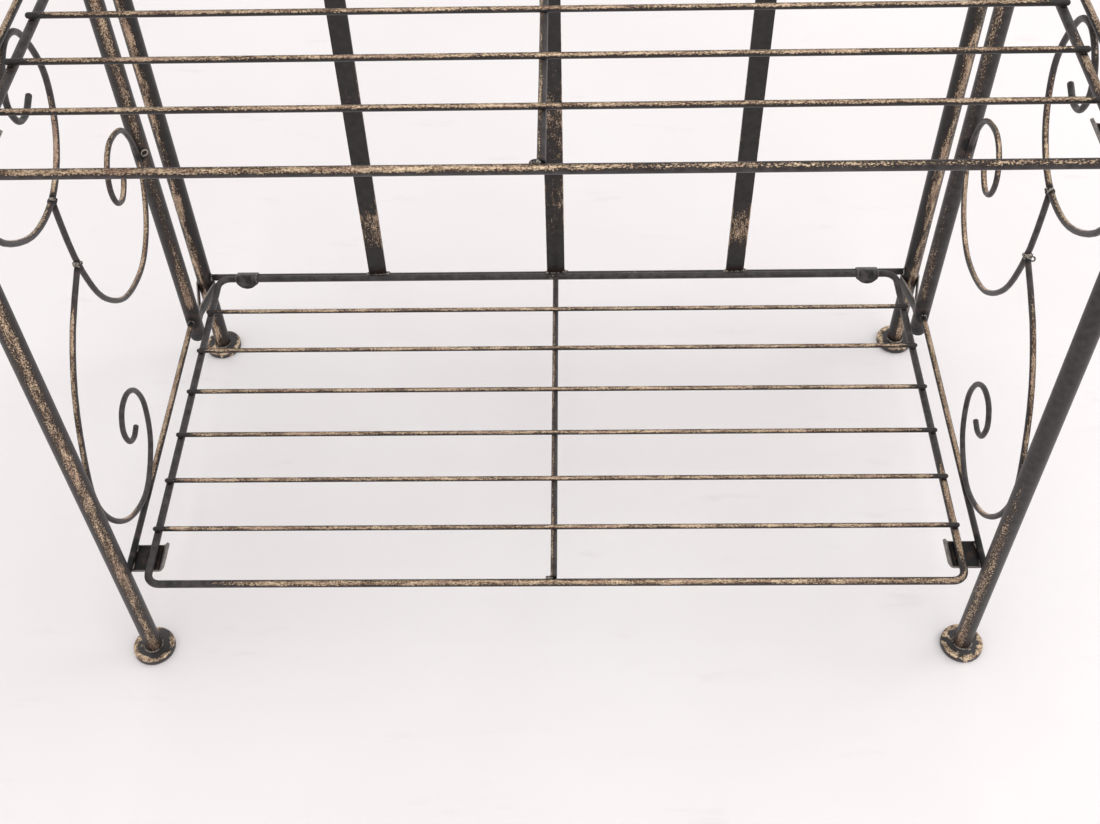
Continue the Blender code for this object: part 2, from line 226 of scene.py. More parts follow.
def wrapped(circles, tail_way, pinch_distance, tail_end, thickness):
    """Middle line of a strip pulled round circles, with its two ends pinched together in a tail."""
    beside = Vector((-tail_way.y, tail_way.x))
    half_pair = (thickness + weld_gap) / 2
    pinch = circles[0][0] + tail_way * pinch_distance
    tip = circles[0][0] + tail_way * tail_end
    first_angle = math.atan2(tail_way.y, tail_way.x)
    path = [tip + beside * half_pair, pinch + beside * half_pair]
    for step in range(wrap_directions):
        angle = first_angle + 2 * math.pi * step / wrap_directions
        way = Vector((math.cos(angle), math.sin(angle)))
        centre, radius = max(circles, key=lambda circle: circle[0].dot(way) + circle[1])
        if centre.dot(way) + radius > pinch.dot(way) + half_pair:
            path.append(centre + way * radius)
    path += [pinch - beside * half_pair, tip - beside * half_pair]
    return [Vector((*point, 0)) for point in path]


def last_crossing(path, axis, value):
    """Point nearest to a path's end at which it passes a value of Y, for axis 1, or Z, for axis 2."""
    for end, start in zip(path[::-1], path[-2::-1]):
        if min(start[axis], end[axis]) <= value <= max(start[axis], end[axis]):
            return start.lerp(end, (value - start[axis]) / (end[axis] - start[axis]))
    return path[-1]


def path_length(path, closed=False):
    ends = path[1:] + path[:1] if closed else path[1:]
    return sum((end - start).length for start, end in zip(path, ends))


# Bars and strips, made straight and then bent

def deselect_all():
    bpy.ops.object.select_all(action="DESELECT")


def take_up(thing):
    """Makes a piece the only selected one."""
    deselect_all()
    thing.select_set(True)
    bpy.context.view_layer.objects.active = thing


def pick(thing, edge_test=None, face_test=None):
    """In edit mode, selects the edges or faces that pass a test and nothing else."""
    mode = "EDGE" if edge_test else "FACE"
    bpy.ops.mesh.select_mode(type=mode)
    bpy.ops.mesh.select_all(action="DESELECT")
    shape = bmesh.from_edit_mesh(thing.data)
    for part in (shape.edges if edge_test else shape.faces):
        part.select_set((edge_test or face_test)(part))
    bmesh.update_edit_mesh(thing.data)


def runs_lengthwise(edge):
    start, end = (corner.co for corner in edge.verts)
    return abs(end.x - start.x) > (end - start).length / 2


def cut_lengthwise(thing, length, step):
    """Rings round a straight bar, so that it can be bent."""
    segments = math.ceil(length / step)
    while segments > 1:
        cuts = min(most_cuts, segments) - 1
        pick(thing, edge_test=runs_lengthwise)
        bpy.ops.mesh.subdivide(number_cuts=max(cuts, 1))
        segments = math.ceil(segments / (cuts + 1))


def corners_of(thing):
    """Places of a mesh's corners, one row each."""
    places = np.empty(len(thing.data.vertices) * 3, np.float32)
    thing.data.vertices.foreach_get("co", places)
    return places.reshape(-1, 3)


def keep_grain(thing, rub, shift=None):
    """Stores each point's place on the straight bar, and how much bronze the bar gets there.

    rub is a list of places along the bar, as shares of its length, with their shares of bronze.
    """
    places = corners_of(thing)
    shares, amounts = zip(*rub)
    along = np.interp(places[:, 0] / max(places[:, 0].max(), weld_gap), shares, amounts)
    places[:, 0] += luck.uniform(0, grain_shift) if shift is None else shift
    grain = thing.data.attributes.new("grain", "FLOAT_VECTOR", "POINT")
    grain.data.foreach_set("vector", places.ravel())
    rubbing = thing.data.attributes.new("rub", "FLOAT", "POINT")
    rubbing.data.foreach_set("value", along.astype(np.float32))


def straight_bar(name, length, stock, closed=False, end_round=eased_end, rub=full_rub):
    """Straight round bar along +X from the origin, with its ends eased unless it closes on itself."""
    deselect_all()
    bpy.ops.mesh.primitive_cylinder_add(
        vertices=stock.sides, radius=stock.diameter / 2, depth=length, location=(length / 2, 0, 0),
        rotation=(0, math.pi / 2, 0), end_fill_type="NOTHING" if closed else "NGON")
    bar = bpy.context.object
    bar.name = name
    bpy.ops.object.transform_apply(location=True, rotation=True, scale=False)
    bpy.ops.object.mode_set(mode="EDIT")
    cut_lengthwise(bar, length, stock.step)
    if not closed and end_round > 0:
        pick(bar, face_test=lambda face: abs(face.normal.x) > end_facing)
        bpy.ops.mesh.region_to_loop()
        bpy.ops.mesh.bevel(offset=end_round * stock.diameter / 2, segments=end_rings)
    bpy.ops.object.mode_set(mode="OBJECT")
    keep_grain(bar, rub)
    return bar


def straight_strip(name, length, stock, corner=0.0, rub=full_rub, shift=None):
    """Straight flat bar along +X from the origin: thickness along Y, width along Z.

    Its end corners are rounded by the radius corner.
    """
    deselect_all()
    bpy.ops.mesh.primitive_cube_add(size=1, location=(length / 2, 0, 0),
                                    scale=(length, stock.thickness, stock.width))
    strip = bpy.context.object
    strip.name = name
    bpy.ops.object.transform_apply(location=True, rotation=True, scale=True)
    bpy.ops.object.mode_set(mode="EDIT")
    cut_lengthwise(strip, length, stock.step)
    shape = bmesh.from_edit_mesh(strip.data)
    for point in shape.verts:
        from_end = max(0, min(point.co.x, length - point.co.x))
        if from_end < corner:
            drawn_in = corner - math.sqrt(corner**2 - (corner - from_end) ** 2)
            point.co.z -= math.copysign(drawn_in, point.co.z)
    bmesh.update_edit_mesh(strip.data)
    pick(strip, edge_test=lambda part: len(part.link_faces) == 2 and part.calc_face_angle() > sharp_angle)
    bpy.ops.mesh.bevel(offset=stock.edge, segments=edge_rings)
    bpy.ops.object.mode_set(mode="OBJECT")
    keep_grain(strip, rub, shift)
    return strip


def close_seams(distance):
    """Merges the corners of the active piece that lie this near, and turns its faces outwards."""
    bpy.ops.object.mode_set(mode="EDIT")
    bpy.ops.mesh.select_all(action="SELECT")
    bpy.ops.mesh.remove_doubles(threshold=distance)
    bpy.ops.mesh.normals_make_consistent(inside=False)
    bpy.ops.object.mode_set(mode="OBJECT")


def bend_along(bar, path, closed=False, flat=False):
    """Bends a straight bar along a path; a strip lies flat on its path's own XY plane."""
    curve = bpy.data.curves.new(bar.name + "_path", "CURVE")
    curve.dimensions = "2D" if flat else "3D"
    spline = curve.splines.new("POLY")
    spline.points.add(len(path) - 1)
    for spot, point in zip(spline.points, path):
        spot.co = (*point, 1)
    spline.use_cyclic_u = closed
    guide = bpy.data.objects.new(curve.name, curve)
    bpy.context.scene.collection.objects.link(guide)
    bend = bar.modifiers.new("bend", "CURVE")
    bend.object = guide
    bend.deform_axis = "POS_X"
    take_up(bar)
    bpy.ops.object.modifier_apply(modifier="bend")
    bpy.data.objects.remove(guide)
    bpy.data.curves.remove(curve)
    if closed:
        close_seams(merge_distance)
    return bar


def smooth(thing, angle=smooth_angle):
    take_up(thing)
    bpy.ops.object.shade_smooth_by_angle(angle=angle)
    return thing


def set_down(thing, place, turn):
    """Turns a piece and puts it in its place, both for good."""
    thing.location = place
    thing.rotation_euler = turn
    take_up(thing)
    bpy.ops.object.transform_apply(location=True, rotation=True, scale=False)


def bent_bar(name, path, stock, closed=False, end_round=eased_end, rub=full_rub):
    bar = straight_bar(name, path_length(path, closed), stock, closed, end_round, rub)
    return smooth(bend_along(bar, path, closed))


def bent_strip(name, path, stock, place, turn=(0, 0, 0), corner=0.0):
    """Strip bent in its own XY plane, then turned and put in its place."""
    strip = straight_strip(name, path_length(path), stock, corner, shift=0)
    bend_along(strip, path, flat=True)
    set_down(strip, place, turn)
    return smooth(strip)


def joined(name, things):
    take_up(things[0])
    for thing in things[1:]:
        thing.select_set(True)
    if len(things) > 1:
        bpy.ops.object.join()
    things[0].name = name
    things[0].data.name = name
    return things[0]


def burn(thing, welds, reach):
    """Marks how near each point lies to a weld, where the paint over the scale is black."""
    places = corners_of(thing)
    nearest = np.full(len(places), np.inf)
    for weld in welds:
        nearest = np.minimum(nearest, np.linalg.norm(places - np.array(weld), axis=1))
    marks = thing.data.attributes.new("burn", "FLOAT", "POINT")
    marks.data.foreach_set("value", np.clip(1 - nearest / reach, 0, 1).astype(np.float32))


def put(piece, body, finish, nodes=(), welds=(), burn_reach=tube_burn_reach):
    """Finishes a piece: marks its burns, gives it its finish in a material slot and its body, and hides the
    CAD nodes that it stands for.
    """
    burn(piece, welds, burn_reach)
    piece.data.materials.clear()
    piece.data.materials.append(finish)
    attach(piece, body)
    if nodes:
        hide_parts(*nodes)
    return piece


# Finishes

class Number:
    """A shader number, so that a sum of them is written as a sum."""

    def __init__(self, nodes, socket):
        self.nodes = nodes
        self.socket = socket

    def maths(self, operation, *others):
        return self.nodes.node("ShaderNodeMath", {"operation": operation}, dict(enumerate((self, *others))))

    def __add__(self, other):
        return self.maths("ADD", other)

    __radd__ = __add__

    def __sub__(self, other):
        return self.maths("SUBTRACT", other)

    def __rsub__(self, other):
        return self.nodes.node("ShaderNodeMath", {"operation": "SUBTRACT"}, {0: other, 1: self})

    def __mul__(self, other):
        return self.maths("MULTIPLY", other)

    __rmul__ = __mul__

    def most(self, other):
        return self.maths("MAXIMUM", other)

    def step(self, low, high):
        """Soft step from 0 at low to 1 at high."""
        inputs = {"Value": self, "From Min": low, "From Max": high}
        return self.nodes.node("ShaderNodeMapRange", {"interpolation_type": "SMOOTHSTEP"}, inputs)


class Nodes:
    """Adds nodes to the tree of a material or of the world."""

    def __init__(self, tree):
        self.tree = tree

    def node(self, kind, settings=None, inputs=None, output=None):
        """A new node: its settings, then its sockets' values or links. Gives its output as a Number."""
        made = self.tree.nodes.new(kind)
        for setting, value in (settings or {}).items():
            setattr(made, setting, value)
        for key, value in (inputs or {}).items():
            if isinstance(key, int):
                socket = made.inputs[key]
            else:
                socket = next(place for place in made.inputs if place.name == key and place.enabled)
            self.feed(socket, value)
        if output is None:
            return Number(self, next(place for place in made.outputs if place.enabled))
        return Number(self, made.outputs[output])

    def feed(self, socket, value):
        if isinstance(value, Number):
            self.tree.links.new(value.socket, socket)
        else:
            socket.default_value = value

    def along(self, vector, axis):
        """X, Y or Z of a place or of a way."""
        return self.node("ShaderNodeSeparateXYZ", None, {"Vector": vector}, output=axis)


class Finish(Nodes):
    """One material, built node by node."""

    def __init__(self, name, roughness, metallic):
        self.material = bpy.data.materials.new(name)
        self.material.use_nodes = True
        super().__init__(self.material.node_tree)
        self.shader = self.tree.nodes["Principled BSDF"]
        self.set("Roughness", roughness)
        self.set("Metallic", metallic)

    def set(self, name, value):
        self.feed(self.shader.inputs[name], value)

    def place(self):
        return self.node("ShaderNodeTexCoord", output="Object")

    def normal(self):
        return self.node("ShaderNodeTexCoord", output="Normal")

    def grain(self):
        return self.node("ShaderNodeAttribute", {"attribute_name": "grain"}, output="Vector")

    def mark(self, name):
        return self.node("ShaderNodeAttribute", {"attribute_name": name}, output="Fac")

    def from_middle(self, vector, axis):
        """How far a place lies from the middle along X, Y or Z."""
        return self.along(vector, axis).maths("ABSOLUTE")

    def from_axis(self, vector):
        """How far a place lies from the upright line through the middle."""
        flat = self.stretched(vector, (1, 1, 0))
        return self.node("ShaderNodeVectorMath", {"operation": "LENGTH"}, {0: flat}, output="Value")

    def stretched(self, vector, scale, turn=(0, 0, 0)):
        return self.node("ShaderNodeMapping", None, {"Vector": vector, "Scale": scale, "Rotation": turn})

    def noise(self, vector, scale, detail=2, roughness=0.5):
        inputs = {"Vector": vector, "Scale": scale, "Detail": detail, "Roughness": roughness}
        return self.node("ShaderNodeTexNoise", None, inputs)

    def facing(self, way):
        """How far the surface faces a way, from -1 to 1."""
        settings = {"operation": "DOT_PRODUCT"}
        inputs = {0: self.normal(), 1: Vector(way).normalized()}
        return self.node("ShaderNodeVectorMath", settings, inputs, output="Value")

    def facing_outward(self, way):
        """The same with X of the way counted outward, from the middle of the unit to its sides."""
        side = self.along(self.place(), "X").maths("SIGN")
        outward = self.along(self.normal(), "X")
        aim = Vector(way).normalized()
        return side * outward * aim.x + self.facing((0, aim.y, aim.z)) * aim.yz.length

    def blend(self, factor, first, second):
        """Colour that goes from the first to the second as the factor goes from 0 to 1."""
        inputs = {"Factor": factor, "A": first, "B": second}
        return self.node("ShaderNodeMix", {"data_type": "RGBA"}, inputs)

    def bump(self, height, distance, strength=1.0):
        inputs = {"Height": height, "Distance": distance, "Strength": strength}
        self.set("Normal", self.node("ShaderNodeBump", None, inputs))


def paint_colour(red, green, blue):
    """Linear colour of a tone as it is seen on a screen, each part from 0 to 255."""
    def linear(part):
        share = part / 255
        return share / 12.92 if share <= 0.04045 else ((share + 0.055) / 1.055) ** 2.4
    return (linear(red), linear(green), linear(blue), 1)


dark_paint = paint_colour(31, 27, 27)
slate_paint = paint_colour(80, 75, 76)
scorched_paint = paint_colour(20, 18, 18)
rust_brown = paint_colour(76, 56, 46)
smeared_brown = paint_colour(52, 40, 33)
pale_gold = paint_colour(228, 203, 172)
deep_gold = paint_colour(102, 78, 61)
pink_bronze = paint_colour(190, 157, 142)
bead_fleck = paint_colour(160, 150, 140)
# Light grey of a painted highlight on the edges of sheet parts and on a hook's lip
highlight_grey = paint_colour(150, 142, 137)
plug_black = paint_colour(30, 30, 31)
plug_grey = paint_colour(44, 44, 45)

# The way that the painted highlight on beads faces, the middle value of a noise, an edge that no surface
# reaches, the paint's specular level, and how wide a flat bar's edge band is: bronze on slats, painted
# highlight on sheets
glint_way = (0, -0.72, 0.70)
half_noise = 0.5
no_edge = 2.0
paint_specular = 0.32
edge_band_width = 0.0012


def rubbed_finish(name, way, edge, rough=0.5, patchy=0.5, grit=0.6, stretch=0.2, slant=0.5, tint=0.3,
                  slate=0.5, back_edge=no_edge, top_edge=no_edge, rim=0.0, outward=False):
    """Dark paint rubbed with bronze on the side that faces a way, and on its back and top from an edge on.

    edge is how squarely a surface faces the way, from 0 to 1, where the rubbing ends. rough, patchy and
    grit break that edge into strokes, patches and flecks. stretch lengthens the strokes along the bar
    and slant turns them, tint reddens the bronze and slate lightens the paint. rim is how far from a
    flat bar's middle its edges lie, for the flecks that they get. With outward, the way is mirrored on
    the left of the unit.
    """
    finish = Finish(name, roughness=0.4, metallic=0.0)
    grain = finish.grain()
    burnt = finish.mark("burn")
    patches = finish.noise(grain, scale=16)
    slanted = finish.stretched(grain, (stretch, 1, 1), turn=(0, 0, slant))
    strokes = finish.noise(slanted, scale=300, detail=4, roughness=0.65)
    fine = finish.noise(finish.stretched(grain, (0.6, 1, 1)), scale=1300, roughness=0.6)
    mottle = finish.noise(grain, scale=200, detail=3)

    behind = tuple(-part for part in way[:2]) + (way[2],)
    ahead = finish.facing_outward(way) if outward else finish.facing(way)
    face = (ahead - edge).most(finish.facing(behind) - back_edge).most(finish.facing((0, 0, 1)) - top_edge)
    reach = face + (strokes - half_noise) * rough + (patches - half_noise) * patchy
    reach = reach + (finish.mark("rub") - 1)
    if rim:
        reach = reach + finish.from_middle(grain, "Z").step(rim - edge_band_width, rim) * 0.35
    flecked = reach + (fine - half_noise) * grit
    rubbed = flecked.step(-0.04, 0.08) * (1 - burnt.step(0.12, 0.5))

    paint = finish.blend(mottle.step(0.05, 0.95) * slate, dark_paint, slate_paint)
    paint = finish.blend(reach.step(-0.28, -0.02) * 0.85, paint, smeared_brown)
    fringe = burnt.step(0.02, 0.2) * (1 - burnt.step(0.25, 0.5)) * 0.35
    paint = finish.blend(fringe, paint, rust_brown)
    paint = finish.blend(burnt.step(0.2, 0.6), paint, scorched_paint)
    shine = (strokes * 0.4 + fine * 0.6 + reach * 0.12).step(0.42, 0.69)
    bronze = finish.blend(shine, deep_gold, pale_gold)
    bronze = finish.blend(patches.step(0.45, 0.7) * tint, bronze, pink_bronze)
    finish.set("Base Color", finish.blend(rubbed, paint, bronze))
    finish.set("Metallic", rubbed * 0.6)
    finish.set("Roughness", 0.4 + (mottle - half_noise) * 0.2 + burnt.step(0.2, 0.7) * 0.2 - rubbed * 0.04)
    finish.set("Specular IOR Level", paint_specular)
    finish.bump(mottle * 0.5 + fine * 0.25 + strokes * rubbed * 0.5, distance=0.00022, strength=0.6)
    return finish.material


def foot_finish(radius):
    """Cast disc: dark side, bronze swirled in a ring on its top, dark again round the tube."""
    finish = Finish("foot_bronze", roughness=0.45, metallic=0.3)
    place = finish.place()
    swirl = finish.noise(place, scale=170, detail=3, roughness=0.6)
    wide = finish.noise(place, scale=60)
    fine = finish.noise(place, scale=1100)
    out = finish.from_axis(finish.grain())
    ring = out.step(radius * 0.66, radius * 0.9) * finish.facing((0, 0, 1)).step(0.1, 0.6)
    reach = ring * 0.62 + (swirl - half_noise) * 1.9 + (wide - half_noise) * 1.6 + (fine - half_noise) * 0.5
    rubbed = reach.step(0.26, 0.42) * (1 - finish.mark("burn").step(0.25, 0.6))
    paint = finish.blend(wide, scorched_paint, slate_paint)
    bronze = finish.blend((fine + swirl - half_noise).step(0.35, 0.7), deep_gold, pale_gold)
    finish.set("Base Color", finish.blend(rubbed, paint, bronze))
    finish.set("Metallic", rubbed * 0.5 + 0.1)
    finish.set("Roughness", 0.46 - rubbed * 0.08 + (fine - half_noise) * 0.15)
    finish.bump(swirl + fine * 0.3, distance=0.0004, strength=0.7)
    return finish.material


def bead_finish(name, bright):
    """Weld bead under paint: near black, with bright flecks at random, and more of them as a painted
    highlight where it faces up and to the front.
    """
    finish = Finish(name, roughness=0.5, metallic=0.2)
    place = finish.place()
    fine = finish.noise(place, scale=900, detail=3, roughness=0.65)
    wide = finish.noise(place, scale=160)
    # Painted highlight: bright flecks gather where a bead faces up and to the front
    glint = finish.facing(glint_way)
    flecks = glint * 0.55 + (fine - half_noise) * 2.6 + (wide - half_noise) * 1.2 + bright
    flecks = flecks.step(0.5, 0.72)
    paint = finish.blend(wide, scorched_paint, dark_paint)
    finish.set("Base Color", finish.blend(flecks, paint, bead_fleck))
    finish.set("Metallic", flecks * 0.4 + 0.1)
    finish.set("Roughness", 0.5 - flecks * 0.1)
    finish.bump(fine + wide, distance=0.0004, strength=0.8)
    return finish.material


def sheet_finish(name, width, painted_highlight, rust, tone, tip=1.0):
    """Near-black painted sheet with a painted highlight along its edges, and past the place tip along the
    strip too.
    """
    finish = Finish(name, roughness=0.42, metallic=0.1)
    grain = finish.grain()
    fine = finish.noise(grain, scale=1100)
    wide = finish.noise(grain, scale=150, detail=3)
    # Painted highlight: light grey along the sheet's edges and, past the tip, all over a hook's upturned
    # lip
    rim = finish.from_middle(grain, "Z").step(width / 2 - edge_band_width, width / 2 - 0.0002)
    end = finish.from_middle(grain, "X").step(tip, tip + 0.002)
    highlight_mask = rim.most(end * 0.85) + (fine - half_noise) * 0.9 + (wide - half_noise) * 0.9
    paint = finish.blend(wide.step(0.3, 0.7), scorched_paint, tone)
    paint = finish.blend((wide + (fine - half_noise) * 0.5).step(0.52, 0.66) * rust, paint, rust_brown)
    finish.set("Base Color", finish.blend(highlight_mask.step(0.45, 0.9) * painted_highlight, paint, highlight_grey))
    finish.set("Roughness", 0.4 + (fine - half_noise) * 0.25)
    finish.set("Specular IOR Level", paint_specular)
    finish.bump(wide + fine * 0.5, distance=0.00025, strength=0.6)
    return finish.material


def plug_finish():
    """Matt black moulded plastic."""
    finish = Finish("plug_black", roughness=0.6, metallic=0.0)
    fine = finish.noise(finish.place(), scale=1400)
    finish.set("Base Color", finish.blend(fine, plug_black, plug_grey))
    finish.set("Roughness", 0.55 + (fine - half_noise) * 0.2)
    finish.bump(fine, distance=0.0001, strength=0.5)
    return finish.material


# Back frame

slat_columns = (-1, 0, 1)
slat_sink = 0.0015
slat_rub = ((0, 0.3), (0.06, 0.6), (0.11, 1.1), (0.17, 1.1), (0.24, 0.65), (0.5, 0.8), (0.7, 0.6), (1, 0.7))
centre_slat_rub = ((0, 0.3), (0.07, 0.7), (0.14, 0.98), (0.3, 0.93), (0.5, 0.95), (0.7, 0.7), (1, 0.7))


def bore_end(tube, end, depth):
    """Opens a tube's lower cut end by its wall and runs the bore some way up."""
    take_up(tube)
    bpy.ops.object.mode_set(mode="EDIT")
    pick(tube, face_test=lambda face: len(face.verts) == tube_stock.sides
         and (face.calc_center_median() - end).length < tube_radius)
    bpy.ops.mesh.inset(thickness=tube_wall)
    bpy.ops.mesh.extrude_region_move(TRANSFORM_OT_translate={"value": (0, 0, depth)})
    bpy.ops.object.mode_set(mode="OBJECT")


def make_back_tube(finish):
    arch = [
        (-half_spacing, back_y, foot_top),
        (-half_spacing, back_y, top_tube_z),
        (half_spacing, back_y, top_tube_z),
        (half_spacing, back_y, foot_top),
    ]
    tube = bent_bar("back_tube", rounded(arch, tube_bend_radius, tube_bend_steps), tube_stock)
    welds = [Vector((way * half_spacing, back_y, foot_top)) for _, way in sides]
    for number in shelf_numbers:
        for _, way in sides:
            inner = way * (half_spacing - tube_radius)
            welds.append(Vector((inner, back_y, levels[number] + rail_rise)))
    put(tube, "back_frame", finish, ["back_frame_tube"], welds)


def make_grille(number, rail_finish, slat_finish):
    """Rail between the posts, the flat bars that stand on it, and the places of their welds."""
    node = f"back_grille_{number}"
    low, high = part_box(node)
    rail_z = levels[number] + rail_rise
    ends = [Vector((x, back_y, rail_z)) for x in (low.x, high.x)]
    rail = bent_bar(f"back_rail_{number}", ends, back_rail_stock)
    bottom = rail_z + back_rail_diameter / 2
    feet = []
    heads = []
    for column in slat_columns:
        across = column * slat_spacing
        slat = straight_strip(f"slat_{number}_{column + 2}", high.z - bottom + slat_sink, slat_stock,
                              rub=slat_rub if column else centre_slat_rub)
        set_down(slat, (across, back_y, bottom - slat_sink), (0, -math.pi / 2, 0))
        feet.append(Vector((across, back_y, bottom)))
        heads.append(Vector((across, back_y, high.z)))
        put(smooth(slat), "back_frame", slat_finish, (), [feet[-1], heads[-1]])
    put(rail, "back_frame", rail_finish, [node], ends + feet + heads)
    return feet, heads, ends


# Sleeves round a back rail and a shelf's rear rod

sleeve_pinch = 0.0065
sleeve_tail = 0.0025
sleeve_tail_angle = math.radians(62)
sleeve_corner = 0.0088


def make_sleeve(number, side, finish):
    node = f"shelf_{number}_{side}_sleeve"
    wrap_radius = running_clearance + sleeve_stock.thickness / 2
    rod = Vector((0, 0)), shelf_rod_diameter / 2 + wrap_radius
    rail = Vector((back_y - shelf_back_y, rail_rise)), back_rail_diameter / 2 + wrap_radius
    tail_way = Vector((-math.cos(sleeve_tail_angle), -math.sin(sleeve_tail_angle)))
    path = wrapped([rod, rail], tail_way, sleeve_pinch, sleeve_pinch + sleeve_tail, sleeve_stock.thickness)
    place = (middle_of(node).x, shelf_back_y, levels[number])
    turn = (math.pi / 2, 0, math.pi / 2)
    sleeve = bent_strip(f"{side}_sleeve_{number}", path, sleeve_stock, place, turn, sleeve_corner)
    put(sleeve, "back_frame", finish, [node])


# Side frames

# How much bronze their bars get along their length
leg_rub = {
    "left": ((0, 1), (0.44, 1)),
    "right": (
        (0, 1.03), (0.035, 1.05), (0.05, 1), (0.07, 0.94), (0.08, 0.78), (0.095, 0.55), (0.2, 0.55),
        (0.24, 0.95), (0.44, 1),
    ),
}
side_post_rub = (
    (0.51, 0.95), (0.56, 1.05), (0.62, 0.9), (0.68, 1.1), (0.73, 0.94), (0.77, 1.1), (0.81, 0.96),
    (0.85, 1.12), (0.9, 0.96), (0.955, 0.86), (0.975, 0.97), (0.986, 1.02), (0.99, 0.7), (1, 0.6),
)
scroll_rub = {
    "lower": (
        (0, 0.3), (0.43, 0.4), (0.48, 1.15), (0.53, 1.1), (0.58, 0.6), (0.63, 1), (0.9, 0.95), (1, 0.5),
    ),
    "middle": ((0, 1), (0.72, 1), (0.82, 0.4), (1, 0.3)),
    "upper": ((0, 0.5), (0.3, 0.8), (0.5, 1), (1, 1)),
}
side_rail_rub = ((0, 0.35), (0.27, 0.4), (0.36, 1), (1, 1))


def make_side_tube(side, way, finish, welds):
    x = way * half_spacing
    arch = [
        (x, front_y, foot_top),
        (x, front_y, top_tube_z),
        (x, side_post_y, top_tube_z),
        (x, side_post_y, bottom_of_side_post),
    ]
    tube = bent_bar(f"{side}_tube", rounded(arch, tube_bend_radius, tube_bend_steps), tube_stock,
                    end_round=sawn_end, rub=leg_rub[side] + side_post_rub)
    bore_end(tube, Vector(arch[-1]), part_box(f"{side}_post_cap")[1].z - bottom_of_side_post + weld_gap)
    put(tube, f"{side}_side_frame", finish, [f"{side}_side_tube"], welds)


def scroll_paths(way, number):
    """The three scrolls of a bay, and the places where they are welded."""
    x = way * half_spacing
    reach = scroll_wire_diameter / 2 * scroll_flat
    touch = reach + weld_gap
    low = levels[number] - shelf_rod_diameter / 2 + side_rail_diameter + touch
    high = levels[number + 1] - shelf_rod_diameter / 2 - touch
    front = front_y + tube_radius + weld_gap + reach
    rear = side_post_y - tube_radius - weld_gap - reach

    def spot(shares):
        return Vector((x, front + shares[0] * (rear - front), low + shares[1] * (high - low)))

    upper = [spot(shares) for shares in scroll_shares["upper"]]
    if number < shelf_numbers[-1]:
        upper.append(Vector((x, front, high + reach)))
    else:
        inside = tube_bend_radius - tube_radius - touch
        across = front_y + tube_bend_radius - inside * math.cos(top_stem_angle)
        upper[-1] = Vector((x, across, top_tube_z - tube_bend_radius + inside * math.sin(top_stem_angle)))
    upper = smoothed(upper, fine_turn)

    middle = [spot(shares) for shares in scroll_shares["middle"]]
    stem = middle[-1].y
    underside = min(last_crossing(upper, 1, stem + edge).z for edge in (-reach, reach))
    middle.append(Vector((x, stem, underside - touch)))
    middle = smoothed(middle, fine_turn)

    lower = [spot(shares) for shares in scroll_shares["lower"]]
    knot = last_crossing(middle, 2, spot(knot_touch).z)
    run = (knot - lower[-1]).normalized()
    lower.append(knot - run * (touch + reach * run.z) / run.y)
    lower = smoothed(lower, fine_turn)

    touching = {
        "lower_knot": lower[-1].lerp(knot, 0.5),
        "middle_knot": Vector((x, stem, underside - touch / 2)),
        "on_rail": spot(rail_touch) - Vector((0, 0, reach)),
        "on_leg": spot(leg_touch) - Vector((0, reach, 0)),
        "on_post": spot(post_touch) + Vector((0, reach, 0)),
        "under_rail": spot(upper_rail_touch) + Vector((0, 0, reach)),
    }
    return {"lower": lower, "middle": middle, "upper": upper}, touching


def make_scrolls(side, number, finish, curls, touching):
    welds = [touching[weld] for weld in ("lower_knot", "middle_knot", "on_leg", "on_post")]
    for part, curl in curls.items():
        scroll = bent_bar(f"{side}_scroll_{part}_{number}", curl, scroll_stock, end_round=blunt_end,
                          rub=scroll_rub[part])
        put(scroll, f"{side}_side_frame", finish, [f"{side}_scroll_{number}_{part}"], welds,
            scroll_burn_reach)


def make_side_rail(side, number, finish, welds):
    node = f"{side}_side_rail_{number}"
    low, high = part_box(node)
    middle = middle_of(node)
    path = [Vector((middle.x, low.y - weld_gap, middle.z)), Vector((middle.x, high.y + weld_gap, middle.z))]
    rail = bent_bar(f"{side}_rail_{number}", path, side_rail_stock, rub=side_rail_rub)
    put(rail, f"{side}_side_frame", finish, [node], welds)


# Hooks that carry a shelf's side rods

hook_tab = 0.0025
hook_bend_radius = 0.003
hook_corner = 0.003
hook_lip_lean = 0.004
hook_lip_height = 0.0055
hook_lip_offset = 0.0065
hook_reach = half_spacing - shelf_half + hook_lip_offset
hook_fold = hook_tab + hook_reach


def make_hook(side, way, number, finish):
    node = f"{side}_hook_{number}"
    middle_height = levels[number] - shelf_rod_diameter / 2 - weld_gap - hook_stock.thickness / 2
    points = [
        (way * hook_tab, middle_height, 0),
        (-way * hook_reach, middle_height, 0),
        (-way * (hook_reach + hook_lip_lean), middle_height + hook_lip_height, 0),
    ]
    path = rounded(points, hook_bend_radius, hook_bend_steps)
    place = (way * half_spacing, middle_of(node).y, 0)
    turn = (math.pi / 2, 0, 0)
    hook = bent_strip(f"{side}_hook_{number}_sheet", path, hook_stock, place, turn, hook_corner)
    put(hook, f"{side}_side_frame", finish, [node])


# Straps that hinge a side frame on its back post

strap_numbers = (1, 2, 3)
strap_pinch = 0.032


def make_strap(side, way, index, finish):
    """Strap, and the places where its two ends are welded to the side frame's rear post."""
    node = f"{side}_hinge_strap_{index}"
    circle = Vector((0, 0)), tube_radius + running_clearance + strap_stock.thickness / 2
    tail_end = back_y - side_post_y - tube_radius
    path = wrapped([circle], Vector((0, -1)), strap_pinch, tail_end, strap_stock.thickness)
    place = (way * half_spacing, back_y, middle_of(node).z)
    strap = bent_strip(f"{side}_strap_{index}", path, strap_stock, place)
    ends = [Vector((place[0] + edge * strap_stock.thickness, side_post_y + tube_radius, place[2]))
            for edge in (-1, 1)]
    put(strap, f"{side}_side_frame", finish, [node], ends)
    return ends


